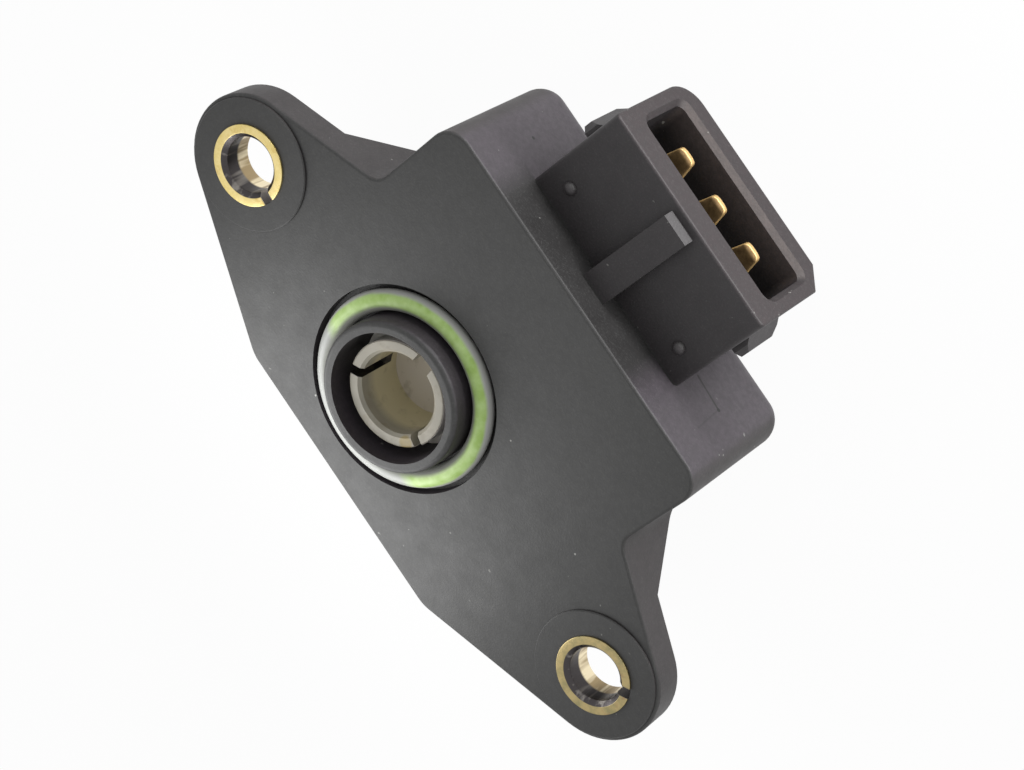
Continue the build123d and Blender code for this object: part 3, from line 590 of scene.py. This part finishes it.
sealTones = {
    "green": ((0.38, 0.58, 0.14), (0.54, 0.74, 0.29)),
    "greenScale": 700,
    "film": (0.38, 0.39, 0.37),
    "thinFilm": (0.54, 0.55, 0.52),
    "innerFilm": (0.31, 0.32, 0.285),
    "filmWay": 260.0,  # the side of the ring that is painted grey right over, a painted reflection in place of the green
    "filmEnd": (4.6, 3.2),  # mm towards that side
    "filmFrom": (-0.35, 0.1),  # mm from the ring's middle line, as the next two
    "greenFrom": (-0.60, -0.20),
    "greenTo": (0.86, 0.66),
    "wobble": 0.4,  # mm, how unevenly the film and the painted grey side end
    "wobbleScale": 260,
    "roughScale": 1800,
    "rough": (0.30, 0.48),
    "bump": (2600, 2, 0.01, 0.7),  # noise scale and detail, depth in mm, strength
}


def sealFinish(tones):
    # Green crest and outer flank, with a pale greasy film beside them; over one side the ring is
    # painted grey right over, a painted reflection
    f = Finish("sealRubber")
    reach = f.sums("SUBTRACT", radialWay(f, (0, 0)), sealPlan["ringRadius"] * mm)
    wobble = f.sums("SUBTRACT", f.noise(tones["wobbleScale"]), 0.5)  # a noise swings round 0.5
    wobble = f.product(wobble, tones["wobble"] * mm)
    reach = f.sums("ADD", reach, wobble)
    x, y = f.split(f.place)[:2]
    # Painted reflection: towards one side the whole ring turns grey
    toSide = f.sums("ADD", f.towards(x, y, tones["filmWay"]), wobble)
    clear = f.fade(toSide, tones["filmEnd"], mm)
    inner = f.fade(reach, tones["greenFrom"], mm)
    outer = f.fade(reach, tones["greenTo"], mm)
    green = f.blotches(tones["greenScale"], tones["green"])
    film = f.mixed(clear, tones["film"], tones["thinFilm"])
    film = f.mixed(f.fade(reach, tones["filmFrom"], mm), tones["innerFilm"], film)
    base = f.mixed(f.product(inner, outer, clear), film, green)
    rough = f.fade(f.noise(tones["roughScale"]), wideSpan, shares=tones["rough"])
    normal = f.fineBump(*tones["bump"])
    return f.close({"Base Color": base, "Roughness": rough, "Normal": normal})


# The two sleeves are the same brass: the right sleeve's tones are a darker copy of the left's,
# painted shade
bushTones = {
    "left": {
        "bright": (0.72, 0.59, 0.27),
        "dull": (0.64, 0.51, 0.19),
        "stained": (0.54, 0.38, 0.12),
        "slitWall": (0.42, 0.40, 0.39),
    },
    "right": {
        "bright": (0.39, 0.31, 0.15),
        "dull": (0.27, 0.235, 0.12),
        "stained": (0.30, 0.17, 0.09),
        "slitWall": (0.13, 0.122, 0.12),
    },
}
borePlan = {
    "dull": ((900, 5, 0.65), (0.42, 0.62), (0.0, 1.0)),  # noise, its range, share
    "stain": ((520, 4, 0.7), (0.56, 0.68), (0.0, 0.7)),
    "rim": (3.07, 3.11),  # mm from the middle, where the flat end begins
    "brightBore": (-1.85, -2.1),  # mm, painted reflection: the bore is dark down to here and bright below
    "darkReflectionTone": (0.065, 0.059, 0.060),
    "glintTone": (0.45, 0.42, 0.38),
    "glint": ((0.56, 0.72), (0.0, 0.45)),
    "brightReflectionTone": (0.98, 0.86, 0.60),
    "brightBoreLineTone": (0.42, 0.32, 0.18),
    "lines": (0.44, 0.60),
    "lineNoise": (1.0, 2, 0.5),
    "lineScale": (1300, 1300, 130),
    "fineNoise": (1.0, 3, 0.6),
    "fineScale": (9000, 9000, 900),
    "fineDepth": 0.006,
    "fineStrength": 0.6,
    "rough": (0.30, 0.44),
    "metal": 1.0,
}


def brassFinish(name, centre, slitAngle, tones, plan):
    # Turned brass: a bright flat end, and a painted reflection in the chamfer and bore: dark with
    # painted glints at the mouth, bright deeper down
    f = Finish(name)
    face = tones["bright"]
    for key, tone in (("dull", "dull"), ("stain", "stained")):
        source, ends, share = plan[key]
        face = f.mixed(f.fade(f.noise(*source), ends, shares=share), face, tones[tone])
    lines = f.noise(*plan["lineNoise"], f.stretched(plan["lineScale"]))
    # Painted reflection in the bore: dark with painted glints at the mouth, bright with streaks
    # deeper down
    glintEnds, glintShare = plan["glint"]
    glint = f.fade(lines, glintEnds, shares=glintShare)
    darkBore = f.mixed(glint, plan["darkReflectionTone"], plan["glintTone"])
    brightBore = f.mixed(f.fade(lines, plan["lines"]), plan["brightReflectionTone"], plan["brightBoreLineTone"])
    z = f.split(f.place)[2]
    bore = f.mixed(f.fade(z, plan["brightBore"], mm), darkBore, brightBore)
    base = f.mixed(f.fade(radialWay(f, centre), plan["rim"], mm), bore, face)
    slit = slitShare(f, centre, slitAngle, sleevePlan["slit"])
    base = f.mixed(slit, base, tones["slitWall"])
    fine = f.noise(*plan["fineNoise"], f.stretched(plan["fineScale"]))
    rough = f.fade(fine, wideSpan, shares=plan["rough"])
    normal = f.bump(fine, plan["fineDepth"], plan["fineStrength"])
    values = {"Base Color": base, "Roughness": rough, "Normal": normal}
    return f.close({**values, "Metallic": plan["metal"]})


bladeTones = {
    "flats": ((0.40, 0.26, 0.12), (0.24, 0.15, 0.066)),
    "stain": ((1300, 5, 0.65), (0.40, 0.62)),
    "edge": (0.64, 0.43, 0.18),
    "edgeFrom": (0.86, 0.60),  # upright part of the normal
    "metal": 0.55,
    "roughScale": 2200,
    "rough": (0.34, 0.50),
    "bump": (5000, 2, 0.006, 0.7),
}


def bladeFinish(tones):
    # Dull gold-brown flats; the edges and the tip are brighter
    f = Finish("bladeMetal")
    source, ends = tones["stain"]
    flats = f.mixed(f.fade(f.noise(*source), ends), *tones["flats"])
    upright = f.sums("ABSOLUTE", f.split(f.facing)[2])
    base = f.mixed(f.fade(upright, tones["edgeFrom"]), flats, tones["edge"])
    rough = f.fade(f.noise(tones["roughScale"]), wideSpan, shares=tones["rough"])
    normal = f.fineBump(*tones["bump"])
    values = {"Base Color": base, "Roughness": rough, "Normal": normal}
    return f.close({**values, "Metallic": tones["metal"]})


rotorPlan = {
    "tops": ((0.31, 0.29, 0.235), (0.38, 0.355, 0.29)),
    "topScale": 380,
    # Painted light: the socket wall, the socket floor and the fingers' outer walls are paler than
    # the tops
    "socket": (0.58, 0.53, 0.365),
    "socketRadius": (4.12, 4.04),  # mm from the axis
    "socketDepth": (-0.55, -1.75),  # mm, heights
    "outside": (0.90, 0.87, 0.79),
    "outerRadius": (5.15, 5.18),
    "outerDepth": (-4.0, -3.4),
    "floor": (0.62, 0.575, 0.51),
    "floorHeight": (-5.12, -5.17),
    # Painted shade in the slit and down the bore wall below it
    "slitShadeTone": (0.008, 0.007, 0.006),
    "slitAngle": 212.0,
    "slitWidth": 0.9,
    "slitDepth": (-4.3, -4.2),
    "chipTone": (0.36, 0.27, 0.09),
    "chip": ((4.1, -2.35, 0.65), 0.8),
    "chipShare": 0.75,
    "grimeTone": (0.20, 0.17, 0.11),
    "grime": ((700, 4, 0.6), (0.56, 0.70), (0.0, 0.35)),
    "roughScale": 1500,
    "rough": (0.38, 0.55),
    "bump": (2400, 3, 0.012, 0.7),
}


def rotorFinish(plan):
    # Aged ivory plastic: darker tops; painted light makes the socket wall, the socket floor and the
    # fingers' outer walls paler; a slit of painted shade, a chip, and grime in places
    f = Finish("rotorPlastic")
    tone = f.blotches(plan["topScale"], plan["tops"])
    z = f.split(f.place)[2]
    way = radialWay(f, (0, 0))
    inside = f.fade(way, plan["socketRadius"], mm)
    # Painted light on the socket wall, the fingers' outer walls and the socket floor
    deep = f.product(inside, f.fade(z, plan["socketDepth"], mm))
    tone = f.mixed(deep, tone, plan["socket"])
    outside = f.product(f.fade(way, plan["outerRadius"], mm), f.fade(z, plan["outerDepth"], mm))
    tone = f.mixed(outside, tone, plan["outside"])
    flat = f.product(inside, f.fade(z, plan["floorHeight"], mm))
    tone = f.mixed(flat, tone, plan["floor"])
    # Painted shade in the slit and down the bore wall below it
    slit = slitShare(f, (0, 0), plan["slitAngle"], plan["slitWidth"])
    slit = f.product(slit, f.fade(z, plan["slitDepth"], mm))
    tone = f.mixed(slit, tone, plan["slitShadeTone"])
    chip = f.product(spotShare(f, *plan["chip"]), plan["chipShare"])
    tone = f.mixed(chip, tone, plan["chipTone"])
    source, ends, share = plan["grime"]
    tone = f.mixed(f.fade(f.noise(*source), ends, shares=share), tone, plan["grimeTone"])
    rough = f.fade(f.noise(plan["roughScale"]), wideSpan, shares=plan["rough"])
    normal = f.fineBump(*plan["bump"])
    return f.close({"Base Color": tone, "Roughness": rough, "Normal": normal})


innerTones = {
    # Two tones, noise scale, roughness, metal share, bump depth in mm
    "rotorSealRubber": ((0.02, 0.02, 0.02), (0.035, 0.035, 0.035), 900, (0.5, 0.7), 0, 0.01),
    "washerSheet": ((0.72, 0.71, 0.66), (0.8, 0.79, 0.75), 500, (0.25, 0.4), 0, 0),
    "carrierPlastic": ((0.05, 0.05, 0.055), (0.07, 0.07, 0.075), 600, (0.4, 0.55), 0, 0.01),
    "brushMetal": ((0.80, 0.70, 0.44), (0.72, 0.62, 0.38), 1500, (0.2, 0.35), 1, 0),
    "clipSteel": ((0.50, 0.50, 0.51), (0.42, 0.42, 0.43), 1500, (0.25, 0.4), 1, 0),
    "boardLaminate": ((0.30, 0.20, 0.08), (0.38, 0.26, 0.11), 700, (0.3, 0.5), 0, 0.008),
    "carbonTrack": ((0.012, 0.012, 0.012), (0.02, 0.02, 0.02), 1200, (0.35, 0.5), 0, 0),
    "silverTrack": ((0.70, 0.70, 0.69), (0.60, 0.60, 0.59), 1200, (0.3, 0.45), 1, 0),
    "silverLeads": ((0.72, 0.72, 0.71), (0.62, 0.62, 0.61), 1200, (0.3, 0.45), 1, 0),
    "coverPlastic": ((0.060, 0.060, 0.061), (0.082, 0.082, 0.084), 160, (0.45, 0.6), 0, 0.015),
    "bushBronze": ((0.42, 0.28, 0.13), (0.34, 0.22, 0.10), 1500, (0.3, 0.5), 1, 0),
    "gasketRubber": ((0.02, 0.02, 0.02), (0.03, 0.03, 0.03), 900, (0.5, 0.7), 0, 0),
    "springSteel": ((0.52, 0.52, 0.52), (0.44, 0.44, 0.45), 1500, (0.22, 0.36), 1, 0),
}
finerPlan = {"rough": 3, "bump": 8, "strength": 0.8}  # how much finer than the tones' noise


def plainFinish(name):
    # Two tones by a soft noise, a rough surface that varies, and a fine bump
    first, second, scale, rough, metal, depth = innerTones[name]
    f = Finish(name)
    roughness = f.fade(f.noise(scale * finerPlan["rough"]), wideSpan, shares=rough)
    values = {"Base Color": f.blotches(scale, (first, second)), "Roughness": roughness}
    if depth:
        fine = f.noise(scale * finerPlan["bump"])
        values["Normal"] = f.bump(fine, depth, finerPlan["strength"])
    return f.close({**values, "Metallic": metal})


bladeMaterial = bladeFinish(bladeTones)
nodeFinish = {
    "housing": housingFinish(plasticPlan),
    "rotor_hub": rotorFinish(rotorPlan),
    "contact_rivets": bladeMaterial,
    "rotor_seal": plainFinish("rotorSealRubber"),
    "thrust_washer": plainFinish("washerSheet"),
    "wiper_carrier": plainFinish("carrierPlastic"),
    "wiper_brush": plainFinish("brushMetal"),
    "carrier_clip": plainFinish("clipSteel"),
    "resistor_board": plainFinish("boardLaminate"),
    "resistor_track": plainFinish("carbonTrack"),
    "collector_track": plainFinish("silverTrack"),
    "track_conductors": plainFinish("silverLeads"),
    "rear_cover": plainFinish("coverPlastic"),
    "pivot_bush": plainFinish("bushBronze"),
    "cover_seal": plainFinish("gasketRubber"),
}
for name, material in nodeFinish.items():
    mesh = nodes[name].data
    mesh.materials.clear()
    mesh.materials.append(material)
seal.data.materials.append(sealFinish(sealTones))
spring.data.materials.append(plainFinish("springSteel"))
for blade in blades:
    blade.data.materials.append(bladeMaterial)
for node, (x, slitAngle) in sleevePlan["places"].items():
    side = node.split("_")[-1]
    brass = brassFinish("brass_" + side, (x, 0), slitAngle, bushTones[side], borePlan)
    bpy.data.objects["sleeve_" + side].data.materials.append(brass)
print("materials set")


roomPlan = {
    "floorHeight": -17.72,  # mm, just under the rear of the part
    "floorSize": 2.4,  # metres
    "floorTone": (0.92, 0.92, 0.92),
    "floorRough": 0.9,
    "floorGlow": 0.96,
    "skyForCamera": 1.0,
    "sky": 0.45,
    "cards": {
        # middle in mm, direction it faces, width and height in mm, watts
        "frontCard": ((0.5, -27, 14.4), (0.0, 0.722, -0.692), 43.2, 22.4, 0.0142),
        "plugCard": ((2, 105, -9), (0.0, -1.0, 0.0), 170, 15, 0.15),
    },
}


def paleRays(tree):
    # 1 for rays that should see the plain pale background
    rays = tree.nodes.new("ShaderNodeLightPath")
    total = rays.outputs["Is Camera Ray"]
    for name in ("Is Glossy Ray", "Is Transmission Ray"):
        node = tree.nodes.new("ShaderNodeMath")
        node.operation = "MAXIMUM"
        tree.links.new(total, node.inputs[0])
        tree.links.new(rays.outputs[name], node.inputs[1])
        total = node.outputs[0]
    return total


world = bpy.data.worlds.new("studio")
bpy.context.scene.world = world
world.use_nodes = True
sky = world.node_tree.nodes["Background"]
sky.inputs["Color"].default_value = (1, 1, 1, 1)
strength = world.node_tree.nodes.new("ShaderNodeMapRange")
world.node_tree.links.new(paleRays(world.node_tree), strength.inputs["Value"])
strength.inputs["To Min"].default_value = roomPlan["sky"]
strength.inputs["To Max"].default_value = roomPlan["skyForCamera"]
world.node_tree.links.new(strength.outputs[0], sky.inputs["Strength"])

half = roomPlan["floorSize"] / 2
level = roomPlan["floorHeight"] * mm
floorCorners = [(x * half, y * half, level) for x, y in ((-1, -1), (1, -1), (1, 1), (-1, 1))]
floorMesh = bpy.data.meshes.new("floor")
floorMesh.from_pydata(floorCorners, [], [(0, 1, 2, 3)])
floor = bpy.data.objects.new("floor", floorMesh)
bpy.context.scene.collection.objects.link(floor)

paper = Finish("floorPaper")
paper.close({"Base Color": roomPlan["floorTone"], "Roughness": roomPlan["floorRough"]})
glow = paper.add("ShaderNodeEmission")
glow.inputs["Color"].default_value = (1, 1, 1, 1)
both = paper.add("ShaderNodeMixShader")
paper.put(both.inputs[0], paper.product(paleRays(paper.tree), roomPlan["floorGlow"]))
paper.put(both.inputs[1], paper.shader.outputs[0])
paper.put(both.inputs[2], glow.outputs[0])
paper.put(paper.tree.nodes["Material Output"].inputs["Surface"], both.outputs[0])
floorMesh.materials.append(paper.material)

for name, (middle, facing, width, height, watts) in roomPlan["cards"].items():
    lamp = bpy.data.lights.new(name, "AREA")
    lamp.shape = "RECTANGLE"
    lamp.size = width * mm
    lamp.size_y = height * mm
    lamp.energy = watts
    holder = bpy.data.objects.new(name, lamp)
    away = -np.array(facing) / np.linalg.norm(facing)
    across = np.cross([0.0, 0.0, 1.0], away)
    across /= np.linalg.norm(across)
    lift = np.cross(away, across)
    axes = Matrix([across.tolist(), lift.tolist(), away.tolist()]).transposed().to_4x4()
    holder.matrix_world = Matrix.Translation([v * mm for v in middle]) @ axes
    holder.visible_camera = False
    bpy.context.scene.collection.objects.link(holder)

bpy.context.scene.view_settings.view_transform = "Standard"
print("floor, world and lamps set")
